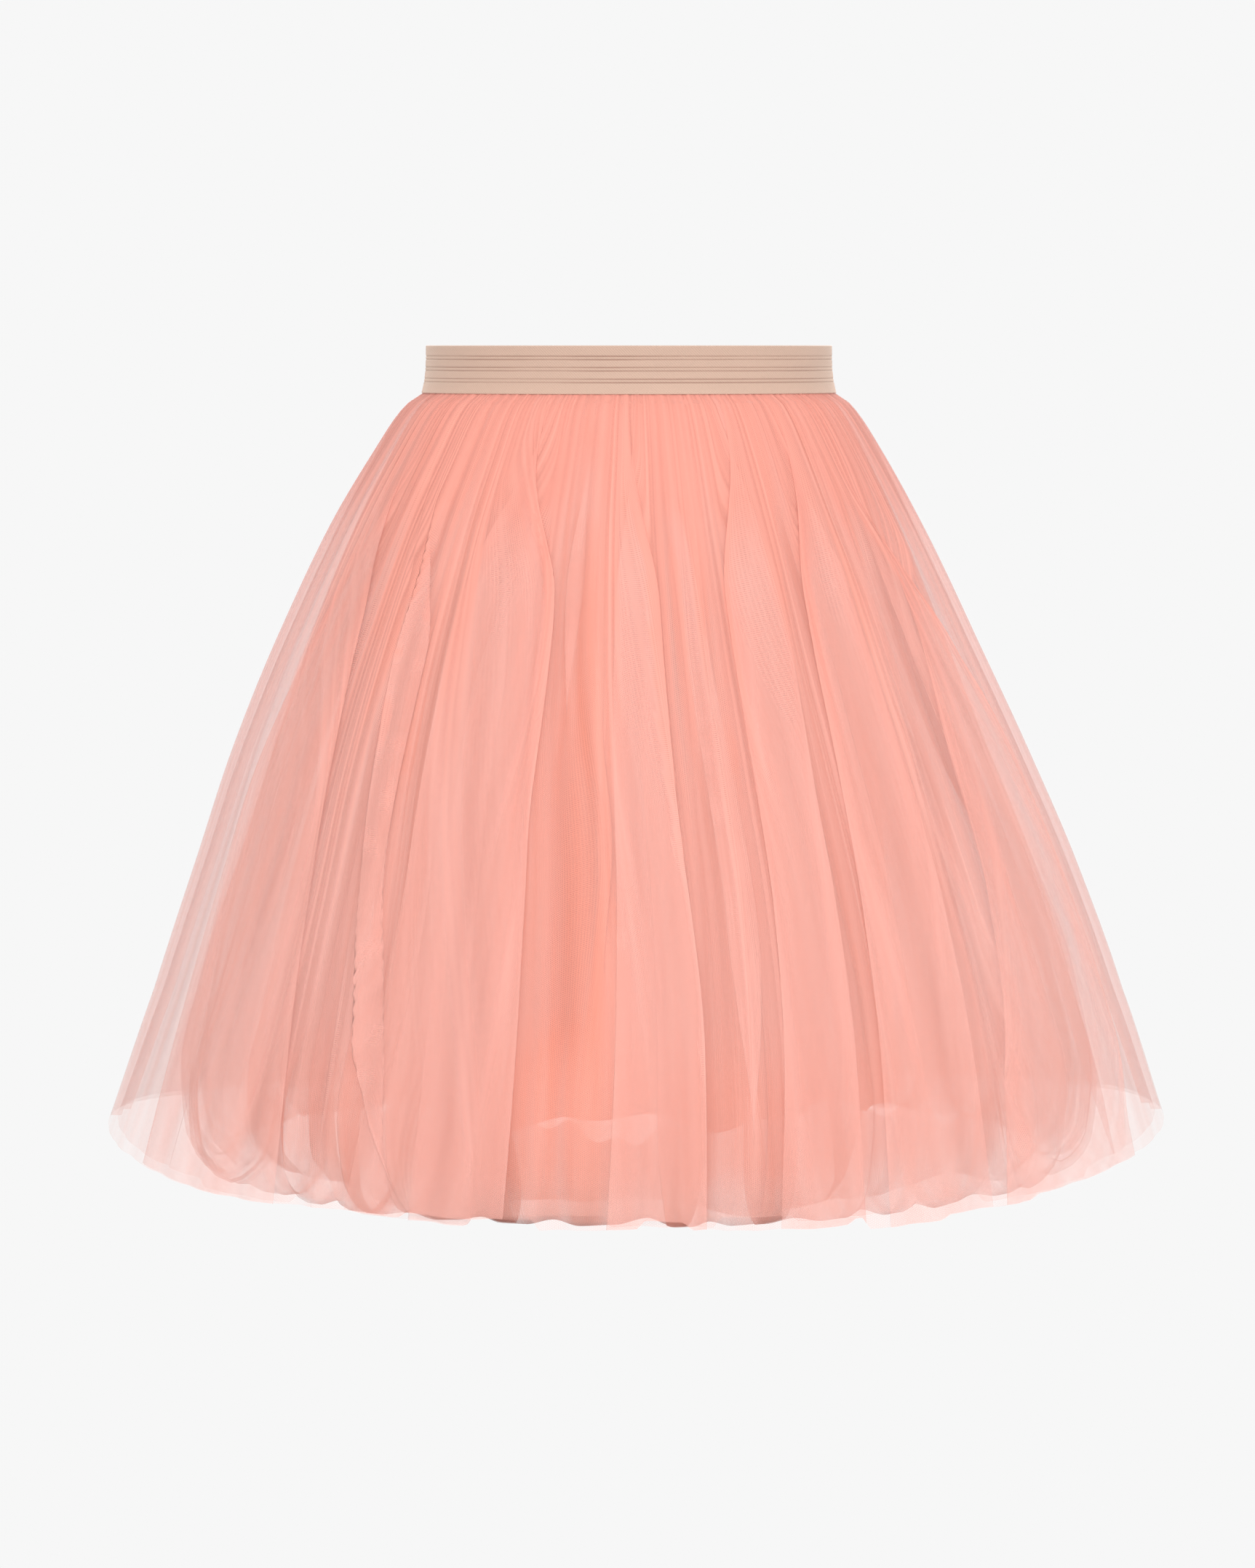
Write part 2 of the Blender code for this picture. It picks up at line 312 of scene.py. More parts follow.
# %% [markdown]
# ## Pleats that lie over
#
# Tulle is stiff and light, so a gathered fold often tips over and lies flat on its neighbour.
# Seen through the net, such a pleat is a paler panel with two crisp edges, because the cloth
# is there three times. A flat sheet makes it when the cloth is pushed sideways past itself:
# it runs to the pleat's far edge, turns back to the near edge, and turns again. A small lift
# keeps the three plies apart. Each pleat is given by the path of its two edges.

# %% Fold the cloth over
FULL_ROLL = 5.0
FURTHEST = 1.0 / math.sqrt(5.0)
LIFT_AT_WAIST = 0.12
PLEAT_START = 0.02
PLEAT_END = 0.35


def soft_step(value, low, high):
    """0 below low, 1 above high, and a soft step between."""
    t = np.clip((value - low) / (high - low), 0.0, 1.0)
    return t * t * (3.0 - 2.0 * t)


def pleat(*path, lift=6.0, roll=1.0, start=0.0, ease=0.26, end=1.4, side=1):
    """A pleat whose path is rows of (share down the skirt, left edge, right edge)."""
    return dict(
        path=np.array(path), lift=lift, roll=roll * FULL_ROLL, start=start, ease=ease, end=end,
        side=side,
    )


def along_path(path, column, down):
    """The place across the panel that a path has reached in each row of the cloth."""
    reached = np.clip(down[:, 0], path[0, 0], path[-1, 0])
    return smooth_through(path[:, 0], path[:, column], reached)[:, None]


def lay_pleats(pleats, across, down):
    """How far the pleats push the cloth sideways, as a share of the panel, and out, in mm."""
    sideways = np.zeros_like(across)
    outwards = np.zeros_like(across)
    grow = LIFT_AT_WAIST + (1.0 - LIFT_AT_WAIST) * soft_step(down, 0.02, 0.30)
    for one in pleats:
        left, right = along_path(one["path"], 1, down), along_path(one["path"], 2, down)
        reach = 0.5 * (right - left)
        x = np.clip((across - 0.5 * (left + right)) / reach, -1.0, 1.0)
        fade = soft_step(down, one["start"] - PLEAT_START, one["start"] + one["ease"])
        fade = fade * (1.0 - soft_step(down, one["end"] - PLEAT_END, one["end"]))
        hump = x * (1.0 - x * x) ** 2 * fade
        sideways -= one["roll"] * reach * hump
        outwards += one["side"] * one["lift"] * grow * hump
    return sideways, outwards


furthest_push = FULL_ROLL * FURTHEST * (1.0 - FURTHEST ** 2) ** 2
print("a full pleat pushes the cloth", round(furthest_push, 2), "times its half width")

# %% [markdown]
# ## The front's pleats, set one by one
#
# The front has seven wide pleats that start in a narrow pucker under the elastic and spread
# downwards, and nine thin pressed ones between them. Their paths were read off the photograph.
# A deep open channel runs down just left of the middle, where the inner layers glow
# through. The channels are places where the cloth lies deeper and is drawn apart.

# %% Set the pleats and channels of the front
PRESSED = 0.18
FRONT_PLEATS = (
    pleat(
        (0.08, .188, .198), (0.35, .152, .236), (0.58, .127, .258), (0.80, .133, .270),
        (1.0, .142, .280), start=0.06, side=-1,
    ),
    pleat(
        (0.15, .262, .276), (0.35, .284, .320), (0.58, .296, .318), (0.85, .318, .342),
        (1.0, .324, .350), start=0.12, lift=3.0, side=1,
    ),
    pleat(
        (0.03, .206, .216), (0.18, .252, .264), (0.32, .276, .290), (0.55, .290, .298),
        (1.0, .300, .312), start=0.02, lift=1.5, roll=PRESSED, side=1,
    ),
    pleat(
        (0.05, .372, .410), (0.17, .350, .424), (0.32, .342, .436), (0.58, .338, .424),
        (0.80, .332, .421), (1.0, .326, .420), start=0.02, lift=5.4, side=-1,
    ),
    pleat(
        (0.05, .386, .396), (0.30, .366, .378), (0.60, .362, .374), (1.0, .352, .362),
        start=0.05, lift=1.5, roll=PRESSED, side=1,
    ),
    pleat(
        (0.05, .500, .516), (0.30, .492, .532), (0.56, .486, .531), (0.80, .482, .536),
        (1.0, .480, .536), start=0.03, lift=3.6, side=-1,
    ),
    pleat(
        (0.10, .536, .548), (0.35, .536, .560), (0.56, .538, .550), (0.80, .540, .548),
        (1.0, .541, .549), start=0.05, lift=1.5, roll=PRESSED, side=1,
    ),
    pleat(
        (0.05, .574, .586), (0.30, .560, .580), (0.56, .554, .584), (0.80, .551, .578),
        (1.0, .548, .574), start=0.04, lift=1.5, roll=PRESSED, side=1,
    ),
    pleat(
        (0.10, .608, .652), (0.30, .592, .648), (0.56, .590, .637), (0.80, .586, .634),
        (1.0, .580, .632), start=0.02, lift=4.2, side=1,
    ),
    pleat(
        (0.05, .640, .648), (0.35, .612, .622), (0.70, .606, .616), (1.0, .604, .613),
        start=0.10, lift=1.5, roll=PRESSED, side=-1,
    ),
    pleat(
        (0.08, .700, .724), (0.30, .670, .728), (0.52, .660, .728), (0.72, .652, .724),
        (1.0, .646, .720), start=0.02, lift=4.8, side=1,
    ),
    pleat(
        (0.05, .664, .676), (0.30, .690, .700), (0.70, .690, .698), (1.0, .684, .694),
        start=0.00, lift=1.5, roll=PRESSED, end=0.9, side=-1,
    ),
    pleat(
        (0.12, .746, .822), (0.36, .776, .884), (0.58, .764, .892), (0.80, .744, .888),
        (1.0, .730, .860), start=0.10, ease=0.40, lift=4.8, side=-1,
    ),
    pleat(
        (0.10, .780, .792), (0.40, .812, .826), (0.70, .806, .820), (1.0, .796, .810),
        start=0.04, lift=1.5, roll=PRESSED, side=1,
    ),
    pleat(
        (0.10, .900, .912), (0.40, .912, .934), (0.70, .908, .932), (1.0, .904, .930),
        start=0.06, lift=1.5, roll=PRESSED, side=1,
    ),
    pleat(
        (0.10, .060, .072), (0.40, .052, .072), (0.70, .048, .070), (1.0, .046, .070),
        start=0.20, end=0.9, lift=1.5, roll=PRESSED, side=-1,
    ),
)
FRONT_CHANNELS = (
    dict(
        path=((0.02, .448), (0.10, .456), (0.30, .464), (0.56, .460), (0.75, .452), (1.0, .442)),
        width=0.024, depth=2.6,
    ),
    dict(
        path=((0.02, .300), (0.12, .312), (0.30, .330), (0.60, .328), (1.0, .318)), width=0.010,
        depth=1.6,
    ),
    dict(
        path=((0.02, .596), (0.30, .582), (0.54, .553), (0.64, .545), (1.0, .544)), width=0.009,
        depth=1.6,
    ),
    dict(
        path=((0.02, .694), (0.30, .660), (0.56, .643), (0.80, .639), (1.0, .637)), width=0.010,
        depth=1.8,
    ),
    dict(
        path=((0.02, .724), (0.14, .738), (0.36, .764), (0.58, .744), (0.80, .732), (1.0, .724)),
        width=0.013, depth=2.0,
    ),
    dict(path=((0.02, .188), (0.35, .140), (0.60, .118), (1.0, .130)), width=0.014, depth=1.2),
)
GOLDEN = 0.6180339887
DRAWS = dict(
    width=(0.7321, 0.4), drift=(0.4142, 0.2), roll=(0.2361, 0.6), start=(0.3028, 0.0),
    end=(0.8284, 0.1), side=(0.1623, 0.3),
)
PLEATED_FROM = 0.13
PLEATED_SHARE = 0.74
PLEAT_DRIFT = 0.035
THIN_PLEAT = 0.014
SCATTERED_ROWS = ((0.04, -0.6, 0.35), (0.35, 0.1, 0.9), (0.65, 0.4, 1.0), (1.0, 0.2, 1.1))


def spread(i, step, phase):
    """An even but unordered spread of numbers from 0 to 1."""
    return (i * step + phase) % 1.0


def scattered_pleats(count, phase, narrowest, widest, lift):
    """Pleats for a ply that the photograph doesn't show one by one, each unlike the last."""
    pleats = []
    for i in range(count):
        draw = {key: spread(i, step, phase + shift) for key, (step, shift) in DRAWS.items()}
        middle = PLEATED_FROM + PLEATED_SHARE * spread(i, GOLDEN, phase)
        reach = 0.5 * (narrowest + (widest - narrowest) * draw["width"] ** 2)
        drift = PLEAT_DRIFT * (draw["drift"] - 0.5)
        path = []
        for down, drifted, opened in SCATTERED_ROWS:
            centre = middle + drift * drifted
            path.append((down, centre - reach * opened, centre + reach * opened))
        pleats.append(pleat(
            *path,
            lift=lift * (0.5 + 20.0 * reach),
            roll=0.45 + 0.55 * draw["roll"] if reach > THIN_PLEAT else PRESSED,
            start=0.30 * draw["start"] ** 2,
            end=0.55 + 0.9 * draw["end"],
            side=1 if draw["side"] > 0.5 else -1,
        ))
    return pleats


DEEPEST_CHANNEL = 2.6


def channel_depth(channels, place, down):
    """How deep the channels lie, in mm."""
    depth = np.zeros_like(place)
    for channel in channels:
        centre = along_path(np.array(channel["path"]), 1, down)
        depth += channel["depth"] * np.exp(-((place - centre) / channel["width"]) ** 2)
    return depth * soft_step(down, 0.02, 0.22)


def drawn_apart(channels, place, down):
    """How far the net is drawn apart in the channels, from 0 to 1."""
    return np.clip(channel_depth(channels, place, down) / DEEPEST_CHANNEL, 0.0, 1.0)


print("front:", len(FRONT_PLEATS), "pleats and", len(FRONT_CHANNELS), "channels set by hand")

# %% [markdown]
# ## Small gathers and the density of the net
#
# The elastic holds several times its own length of tulle, so the cloth leaves it in dozens of
# tiny puckers that die out down the skirt. They are two waves of uneven spacing added
# together. The same gathering packs the threads closer, and packed net hides more of what is
# behind it. So each point of the cloth also keeps how tightly it is packed there.

# %% Work out the puckers and the packing
FINER = 1.63


def puckers(count, phase, place, down):
    """Height of the small gathers, from -1 to 1, unevenly spaced round the waist."""
    wander = 1.3 * np.sin(7.3 * place + phase), 1.1 * np.sin(11.1 * place + 2.0 * phase)
    first = np.sin(math.tau * (count * place + wander[0] + 0.6 * down))
    second = np.sin(math.tau * (FINER * count * place + wander[1] - 0.5 * down))
    return 0.6 * first + 0.4 * second


TIGHTEST_SPOT = 1.5
LOOSEST_SPOT = 0.8
SHORTEST_STEP = 0.00004
EVENED_OVER = 9


def row_steps(points):
    """The distance from each point to the next one along its row."""
    return np.linalg.norm(np.diff(points, axis=1), axis=2)


def packing(points, tightest):
    """How many times closer the threads lie than along the widest row, where the cloth is flat."""
    steps = row_steps(points)
    lengths = steps.sum(axis=1)
    gathered = lengths.max() / lengths
    flat = steps[int(lengths.argmax())]
    close = flat[None, :] / np.maximum(steps, SHORTEST_STEP) / gathered[:, None]
    window = np.ones(EVENED_OVER) / EVENED_OVER
    padded = np.pad(close, ((0, 0), (EVENED_OVER // 2, EVENED_OVER // 2)), mode="edge")
    close = np.stack([np.convolve(row, window, mode="valid") for row in padded])
    between = 0.5 * (close[:, 1:] + close[:, :-1])
    close = np.concatenate((close[:, :1], between, close[:, -1:]), axis=1)
    spots = np.clip(close, LOOSEST_SPOT, TIGHTEST_SPOT)
    return np.clip(gathered[:, None] * spots, 1.0, tightest)


print(
    "puckers on a panel:",
    [round(float(v), 2) for v in puckers(70, 0.7, np.linspace(0.0, 0.05, 6), 0.0)],
)

# %% [markdown]
# ## The hems
#
# The sheer hem is cut straight off, and hangs lower wherever a fold turns its raw edge to the
# front. Those stretches are crisp steps of a few millimetres. The sides ride up a little,
# because the puffed layer pushes them outwards. The puffed layer has a round lower edge that
# sags between its folds, and its raw edge inside is ragged.

# %% Shape the hems
HEM_SIDE_RISE = dict(left=13.0, right=17.0)
HEM_SIDE_POWER = dict(left=10.0, right=5.0)
HEM_WAVE = 1.6
HEM_STEP_DEGREES = 0.5
FRONT_HEM_DROPS = (
    dict(start=-24.0, end=-10.1, drop=-3.5),
    dict(start=-10.1, end=0.4, drop=3.5),
    dict(start=0.4, end=5.0, drop=-1.5),
    dict(start=5.0, end=9.5, drop=3.0),
    dict(start=9.5, end=22.0, drop=2.5),
    dict(start=23.6, end=32.5, drop=7.0),
    dict(start=32.5, end=45.0, drop=4.0),
)
BACK_HEM_DROPS = (
    dict(start=-41.0, end=-33.0, drop=3.0),
    dict(start=-14.0, end=-5.5, drop=5.5),
    dict(start=-5.5, end=12.0, drop=-2.0),
    dict(start=12.0, end=20.0, drop=4.0),
    dict(start=37.0, end=46.0, drop=6.0),
)
PUFF_SAG = 3.5
PUFF_LOWER = 4.0
RAW_EDGE = 16.0
SEWN_WAVE = 5.0


def past(degrees, edge):
    """0 before an edge of a stretch of hem, 1 after it, and a short step between."""
    return soft_step(degrees, edge - HEM_STEP_DEGREES, edge + HEM_STEP_DEGREES)


def hem_change(angle, side, drops):
    """How far the cut hem lies above its even height, in mm, round the skirt."""
    middle = 1.5 * math.pi if side == "front" else 0.5 * math.pi
    degrees = np.degrees(angle - middle)
    cosine = np.cos(angle)
    right = HEM_SIDE_RISE["right"] * np.abs(cosine) ** HEM_SIDE_POWER["right"]
    left = HEM_SIDE_RISE["left"] * np.abs(cosine) ** HEM_SIDE_POWER["left"]
    sides = np.where(cosine > 0.0, right, left)
    change = sides + HEM_WAVE * np.sin(11.0 * angle) * np.sin(angle) ** 2
    for stretch in drops:
        inside = past(degrees, stretch["start"]) * (1.0 - past(degrees, stretch["end"]))
        change = change - stretch["drop"] * inside
    return change


angles = math.pi * np.linspace(1.0, 2.0, 5)
print(
    "front hem change in mm:",
    [round(float(v), 1) for v in hem_change(angles, "front", FRONT_HEM_DROPS)],
)

# %% [markdown]
# ## From sections to a sheet
#
# One function lays any panel: it takes the smooth sections, folds the cloth over at its
# creases, sinks the troughs, adds the puckers and finishes the hem. The result is a fine grid
# with a single layer of faces, because tulle has no thickness that the eye can see. The map
# named cloth holds where each point lies in the flat cloth, in metres, so that the net keeps
# its true size along every fold.

# %% Lay a panel
SEAM_HALF_GAP = 0.17
SEAM_ALLOWANCE = 7.0
SEAM_COLUMNS = 3
EVEN_SHARE = 0.7
EVEN_SAMPLES = 6000
EVEN_AT = (0.35, 0.60, 0.85)
DENTS = 7
DENT_LEAN = 34.0
DENTS_TOGETHER = 3.2
CALM_SIDES = (0.62, 0.90)
SEAM_SHARE = 0.03
PUCKERS_LEFT = 0.07
PUCKERS_FADING = 0.93


def crumple(place, down, phase):
    """Soft dents where the puffed cloth is pushed together, from -1 to 1, near its lower edge."""
    dents = np.zeros_like(place)
    for i in range(DENTS):
        lean = (spread(i, GOLDEN, 0.2) - 0.5) * DENT_LEAN
        across_rate = 26.0 + 44.0 * spread(i, DRAWS["drift"][0], 0.6)
        wobble = 1.4 * np.sin(5.0 * place + 3.0 * down + 2.1 * i + phase)
        dents += np.sin(across_rate * place + lean * down + wobble + 2.4 * i + phase)
    low_down = 0.25 + 0.75 * soft_step(down, 0.45, 0.70)
    return dents / DENTS_TOGETHER * low_down * soft_step(down, 0.05, 0.30)


def half_depth(half_width):
    """Half the depth of a cross-section that is half_width wide."""
    share = (half_width - WAIST_HALF_WIDTH) / (HEM_HALF_WIDTH - WAIST_HALF_WIDTH)
    return WAIST_HALF_DEPTH + share * (HEM_HALF_DEPTH - WAIST_HALF_DEPTH)


def on_oval(half_width, angle, inwards):
    """Points of an oval section, moved inwards at right angles to it."""
    depth = half_depth(half_width)
    normal_x = np.cos(angle) / half_width
    normal_y = np.sin(angle) / depth
    size = np.hypot(normal_x, normal_y)
    x = half_width * np.cos(angle) - inwards * normal_x / size
    return x, depth * np.sin(angle) - inwards * normal_y / size


def even_columns(pleats, count):
    """Places across a panel, closer together where pleats use more cloth."""
    dense = np.linspace(0.0, 1.0, EVEN_SAMPLES)
    across, down = np.meshgrid(dense, np.array(EVEN_AT))
    moved = across + lay_pleats(pleats, across, down)[0]
    cloth = np.abs(np.diff(moved, axis=1)).mean(axis=0)
    even = (1.0 - EVEN_SHARE) / len(cloth)
    used = np.concatenate(([0.0], np.cumsum(EVEN_SHARE * cloth / cloth.sum() + even)))
    return np.interp(np.linspace(0.0, 1.0, count), used / used[-1], dense)


def shape_hem(height, place, down, angle, fold, phase, side, layer):
    """The heights of a panel's points with its hem shaped, in mm."""
    if layer["hem"] == "cut":
        last = layer["sections"][-2]["height"], layer["sections"][-1]["height"]
        share = np.clip((height - last[0]) / (last[1] - last[0]), 0.0, 1.0)
        return height + share * (hem_change(angle, side, layer["drops"][side]) + layer["hem_lift"])
    if layer["hem"] == "turned under":
        sag = soft_step(down, 0.62, 0.74) * (1.0 - soft_step(down, 0.92, 0.99))
        height = height + sag * (PUFF_SAG * fold - PUFF_LOWER)
        rags = 0.5 * np.sin(19.0 * place + phase) + 0.3 * np.sin(61.0 * place)
        rags = rags + 0.2 * np.sin(173.0 * place)
        return height + soft_step(down, 0.93, 1.0) * RAW_EDGE * rags
    wave = np.sin(23.0 * place + phase) + 0.5 * np.sin(51.0 * place + 2.0 * phase)
    return height + down * layer["hem_lift"] + SEWN_WAVE * wave * soft_step(down, 0.8, 1.0)


def panel_points(side, layer):
    """The grid of a front or back panel, in metres, rows from the waist to the hem."""
    smooth = smooth_sections(layer["sections"], layer["rows"], layer["crowding"])
    columns = even_columns(layer["pleats"][side], layer["columns"])
    across, down = np.meshgrid(columns, smooth["down"])
    section = {key: value[:, None] for key, value in smooth.items()}
    phase = layer["phase"] + (0.0 if side == "front" else 1.3)

    sideways, outwards = lay_pleats(layer["pleats"][side], across, down)
    calm = 1.0 - layer["side_calm"] * soft_step(np.abs(2.0 * across - 1.0), *CALM_SIDES)
    sideways, outwards = sideways * calm, outwards * calm
    off_seam = soft_step(across, 0.0, SEAM_SHARE) * (1.0 - soft_step(across, 1.0 - SEAM_SHARE, 1.0))
    place = np.clip(across + sideways * off_seam, 0.0, 1.0)
    start = math.pi if side == "front" else 0.0
    sway = FOLD_SWAY * np.sin(math.pi * place) * np.sin(9.0 * place + 4.0 * down)
    angle = start + math.pi * place + sway

    fold = fold_inwards(layer["folds"], phase, place)
    at_side = 1.0 - layer["side_calm"] * np.abs(np.cos(angle)) ** 3
    soft_fold = layer["fold_share"] * fold * at_side
    inwards = section["fold"] * soft_fold + layer["inside"] * soft_step(down, 0.0, 0.25)
    inwards = inwards + channel_depth(layer["channels"][side], place, down)
    inwards = inwards + layer["crumple"] * crumple(place, down, phase)
    fade = PUCKERS_LEFT + PUCKERS_FADING * np.exp(-down / layer["pucker_fade"])
    fade = fade * soft_step(down, 0.0, 0.02)
    small = puckers(layer["puckers"], phase, across, down)
    inwards = inwards + off_seam * calm * layer["pucker"] * fade * small - off_seam * outwards

    x, y = on_oval(section["half_width"], angle, inwards)
    height = section["height"] + 0.0 * across
    height = shape_hem(height, place, down, angle, fold, phase, side, layer)
    points = np.stack((x + section["lean"], y, height), axis=2)
    points[:, 0, 1] = points[:, -1, 1] = -SEAM_HALF_GAP if side == "front" else SEAM_HALF_GAP
    return points * MM, down, drawn_apart(layer["channels"][side], place, down)


def add_seam_allowance(points):
    """Turn a narrow strip of the cloth inwards at both side seams."""
    left = [points[:, :1] * (1.0 - share) for share in allowance_shares(points[:, :1])]
    right = [points[:, -1:] * (1.0 - share) for share in allowance_shares(points[:, -1:])]
    return np.concatenate(left[::-1] + [points] + right, axis=1)


def with_seams(values):
    """Values for the points of a panel, with those of its edges repeated for the seam allowance."""
    return np.pad(values, ((0, 0), (SEAM_COLUMNS, SEAM_COLUMNS)), mode="edge")


def allowance_shares(edge):
    """How far towards the middle each column of the allowance lies, as a share, row by row."""
    reach = np.abs(edge[:, :, :1])
    turned_in = [(i + 1) / SEAM_COLUMNS * SEAM_ALLOWANCE * MM for i in range(SEAM_COLUMNS)]
    return [np.minimum(1.0, width / reach) * np.array((1.0, 0.0, 0.0)) for width in turned_in]


def cloth_object(name, points, packed, finish):
    """A mesh of one layer of faces through a grid of points, with its map and its packing."""
    rows, columns = points.shape[:2]
    index = np.arange(rows * columns).reshape(rows, columns)
    corners = (index[:-1, :-1], index[1:, :-1], index[1:, 1:], index[:-1, 1:])
    quads = np.stack(corners, axis=2).reshape(-1, 4)
    mesh = bpy.data.meshes.new(name)
    mesh.vertices.add(rows * columns)
    mesh.vertices.foreach_set("co", points.reshape(-1).astype(np.float32))
    mesh.loops.add(quads.size)
    mesh.loops.foreach_set("vertex_index", quads.reshape(-1).astype(np.int32))
    mesh.polygons.add(len(quads))
    mesh.polygons.foreach_set("loop_start", np.arange(0, quads.size, 4, dtype=np.int32))
    mesh.update(calc_edges=True)
    mesh.validate()
    steps = row_steps(points)
    widest = steps[int(steps.sum(axis=1).argmax())]
    across_cloth = np.concatenate(([0.0], np.cumsum(widest)))
    down_steps = np.linalg.norm(np.diff(points, axis=0), axis=2).mean(axis=1)
    down_cloth = np.concatenate(([0.0], np.cumsum(down_steps)))
    u, v = np.meshgrid(across_cloth, down_cloth)
    flat = np.stack((u, v), axis=2).reshape(-1, 2)
    cloth_map = mesh.uv_layers.new(name="cloth")
    cloth_map.data.foreach_set("uv", flat[quads.reshape(-1)].reshape(-1).astype(np.float32))
    packed_at = mesh.attributes.new("packed", "FLOAT", "POINT")
    packed_at.data.foreach_set("value", packed.reshape(-1).astype(np.float32))
    mesh.shade_smooth()
    mesh.materials.append(finish)
    piece = bpy.data.objects.new(name, mesh)
    scene.collection.objects.link(piece)
    return piece, float(across_cloth[-1]), float(down_cloth[-1])


print("half depth of the hem:", half_depth(HEM_HALF_WIDTH), "mm")

# %% [markdown]
# ## The net of the tulle
#
# Tulle is a net of six-sided holes about a millimetre wide, knitted from a very fine thread.
# Modelling every thread would take millions of faces, so the net is a pattern in the cloth's
# transparency. Three waves that cross at 60 degrees add up to a honeycomb: their peaks are
# the holes. The packing then decides how much of the pattern is covered: n layers of net each
# let the same share through, so the covered share is one minus that share to the power n.

# %% Build the net and the streaks as shader groups
def shader_group(name, inputs, outputs):
    """An empty node group with its sockets, its input and its output node."""
    group = bpy.data.node_groups.new(name, "ShaderNodeTree")
    for socket, kind, value in inputs:
        made = group.interface.new_socket(name=socket, in_out="INPUT", socket_type=kind)
        if value is not None:
            made.default_value = value
    for socket, kind in outputs:
        group.interface.new_socket(name=socket, in_out="OUTPUT", socket_type=kind)
    return group, group.nodes.new("NodeGroupInput"), group.nodes.new("NodeGroupOutput")


def plug(tree, socket, value):
    """Give a socket a number or a link from another socket."""
    if isinstance(value, bpy.types.NodeSocket):
        tree.links.new(value, socket)
    else:
        socket.default_value = value


def math_node(tree, operation, *values):
    """A Math node with its values plugged in; returns its output."""
    node = tree.nodes.new("ShaderNodeMath")
    node.operation = operation
    for socket, value in zip(node.inputs, values):
        plug(tree, socket, value)
    return node.outputs[0]


HOLES_PER_METRE = 900.0

net_group, net_in, net_out = shader_group(
    "tulle net",
    (
        ("cloth", "NodeSocketVector", None), ("cover", "NodeSocketFloat", 0.3),
        ("packed", "NodeSocketFloat", 1.0), ("contrast", "NodeSocketFloat", 0.35),
    ),
    (("cover", "NodeSocketFloat"),),
)
waves = []
for degrees in (0.0, 60.0, 120.0):
    crossing = net_group.nodes.new("ShaderNodeVectorMath")
    crossing.operation = "DOT_PRODUCT"
    net_group.links.new(net_in.outputs["cloth"], crossing.inputs[0])
    rate = math.tau * HOLES_PER_METRE
    turn = math.radians(degrees)
    crossing.inputs[1].default_value = (rate * math.cos(turn), rate * math.sin(turn), 0.0)
    waves.append(math_node(net_group, "COSINE", crossing.outputs["Value"]))
pair = math_node(net_group, "ADD", waves[0], waves[1])
honeycomb = math_node(net_group, "ADD", pair, waves[2])
thread = math_node(net_group, "MULTIPLY_ADD", honeycomb, -0.333, 0.0)
swing = math_node(net_group, "MULTIPLY", thread, net_in.outputs["contrast"])
uneven_net = math_node(net_group, "ADD", 1.0, swing)
cover_here = math_node(net_group, "MULTIPLY", net_in.outputs["cover"], uneven_net)
let_through = math_node(net_group, "SUBTRACT", 1.0, cover_here)
through_all = math_node(net_group, "POWER", let_through, net_in.outputs["packed"])
covered = math_node(net_group, "SUBTRACT", 1.0, through_all)
net_group.links.new(covered, net_out.inputs["cover"])

streak_group, streak_in, streak_out = shader_group(
    "drop streaks",
    (
        ("cloth", "NodeSocketVector", None), ("across", "NodeSocketFloat", 160.0),
        ("down", "NodeSocketFloat", 5.0),
    ),
    (("streak", "NodeSocketFloat"),),
)
stretch = streak_group.nodes.new("ShaderNodeCombineXYZ")
plug(streak_group, stretch.inputs["X"], streak_in.outputs["across"])
plug(streak_group, stretch.inputs["Y"], streak_in.outputs["down"])
scaled = streak_group.nodes.new("ShaderNodeVectorMath")
scaled.operation = "MULTIPLY"
plug(streak_group, scaled.inputs[0], streak_in.outputs["cloth"])
plug(streak_group, scaled.inputs[1], stretch.outputs[0])
noise = streak_group.nodes.new("ShaderNodeTexNoise")
noise.inputs["Scale"].default_value = 1.0
noise.inputs["Detail"].default_value = 1.0
plug(streak_group, noise.inputs["Vector"], scaled.outputs[0])
plug(streak_group, streak_out.inputs["streak"], noise.outputs["Fac"])
print("net: holes", round(1000.0 / HOLES_PER_METRE, 2), "mm apart")

# %% [markdown]
# ## The tulle's finish
#
# Both tulles are the same coral net in different shades. The shader is matt, with a trace of
# sheen from the thread. Its colour changes a little in long streaks, as net that has been
# pleated and pulled does. Where the threads are packed closely, light passes from one to the
# next before it leaves, so the coral is deeper there.

# %% Make the tulle
def new_finish(name):
    """A new material, its nodes, its shader, and the map of where each point lies in the cloth."""
    made = bpy.data.materials.new(name)
    made.use_nodes = True
    cloth = made.node_tree.nodes.new("ShaderNodeUVMap")
    cloth.uv_map = "cloth"
    return made, made.node_tree, made.node_tree.nodes["Principled BSDF"], cloth.outputs["UV"]


def point_value(tree, name):
    """A value that the mesh keeps at each of its points."""
    kept = tree.nodes.new("ShaderNodeAttribute")
    kept.attribute_name = name
    return kept.outputs["Fac"]


def remap(tree, value, *limits):
    """A value moved from one range to another: from, to, new from, new to."""
    node = tree.nodes.new("ShaderNodeMapRange")
    plug(tree, node.inputs["Value"], value)
    for socket, limit in zip(node.inputs[1:5], limits):
        socket.default_value = limit
    return node.outputs["Result"]


